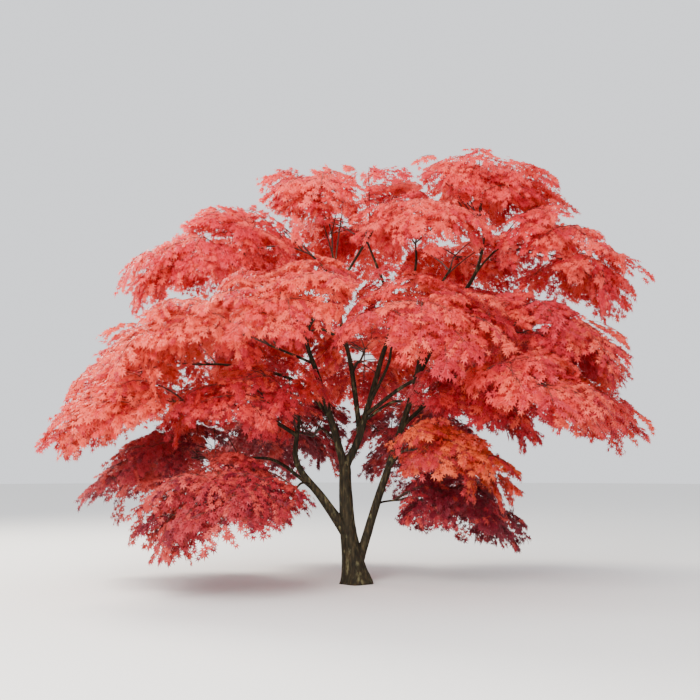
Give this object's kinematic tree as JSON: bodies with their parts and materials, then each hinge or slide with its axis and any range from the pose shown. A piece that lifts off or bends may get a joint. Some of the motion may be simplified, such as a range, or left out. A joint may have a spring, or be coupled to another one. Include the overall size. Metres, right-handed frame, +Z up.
{
  "type": "maple tree",
  "caption": "Broad multi-stemmed maple in red autumn leaf: a short flared trunk forks low into rising limbs that carry layered, drooping domes of foliage.",
  "frame": {"origin": "middle of the trunk's flat cut at ground level", "axes": "+Z up, +X to the right and +Y away from the viewer in the picture's view of the tree"},
  "size_m": [8.1238, 6.3472, 5.9408],
  "materials": {
    "bark": "rough olive-brown bark with pale lichen patches",
    "leaves_crimson": "matt crimson leaves",
    "leaves_scarlet": "matt scarlet leaves",
    "leaves_coral": "matt coral-red leaves",
    "leaves_orange": "matt orange leaves"
  },
  "bodies": {
    "root": {"trunk": "bark", "left_stem": "bark", "centre_left_stem": "bark", "centre_right_stem": "bark", "right_stem": "bark", "inner_rise": "bark", "top_right_bough": "bark", "long_left_bough": "bark", "left_shoulder_bough": "bark", "left_middle_bough": "bark", "left_reach_bough": "bark", "left_low_bough": "bark", "left_back_bough": "bark", "upper_left_bough": "bark", "top_middle_bough": "bark", "upper_front_bough": "bark", "front_right_bough": "bark", "right_inner_bough": "bark", "right_shoulder_bough": "bark", "right_outer_bough": "bark", "right_middle_bough": "bark", "right_reach_bough": "bark", "right_front_bough": "bark", "right_low_bough": "bark", "right_foot_bough": "bark", "back_left_bough": "bark", "back_right_bough": "bark", "back_centre_bough": "bark", "back_low_left_bough": "bark", "back_low_right_bough": "bark", "foliage_left_inner": "leaves_scarlet", "foliage_left_outer_low": "leaves_scarlet", "foliage_left_low_front": "leaves_crimson", "foliage_left_low_back": "leaves_crimson", "foliage_right_inner": "leaves_scarlet", "foliage_right_outer_low": "leaves_scarlet", "foliage_right_front": "leaves_scarlet", "foliage_right_low_back": "leaves_crimson", "foliage_back_low_left": "leaves_crimson", "foliage_back_low_right": "leaves_crimson", "foliage_right_low_front": "leaves_orange", "foliage_front_left": "leaves_scarlet", "foliage_left_outer": "leaves_scarlet", "foliage_left_middle": "leaves_scarlet", "foliage_front_right": "leaves_scarlet", "foliage_right_outer": "leaves_scarlet", "foliage_right_middle": "leaves_scarlet", "foliage_back_left": "leaves_scarlet", "foliage_back_right": "leaves_scarlet", "foliage_back_centre": "leaves_scarlet", "foliage_crown_centre": "leaves_coral", "foliage_upper_right_back": "leaves_coral", "foliage_top_left": "leaves_coral", "foliage_top_right": "leaves_coral", "foliage_left_shoulder": "leaves_coral", "foliage_upper_left": "leaves_coral", "foliage_top_middle": "leaves_coral", "foliage_upper_front": "leaves_coral", "foliage_right_shoulder": "leaves_coral"}
  },
  "joints": []
}
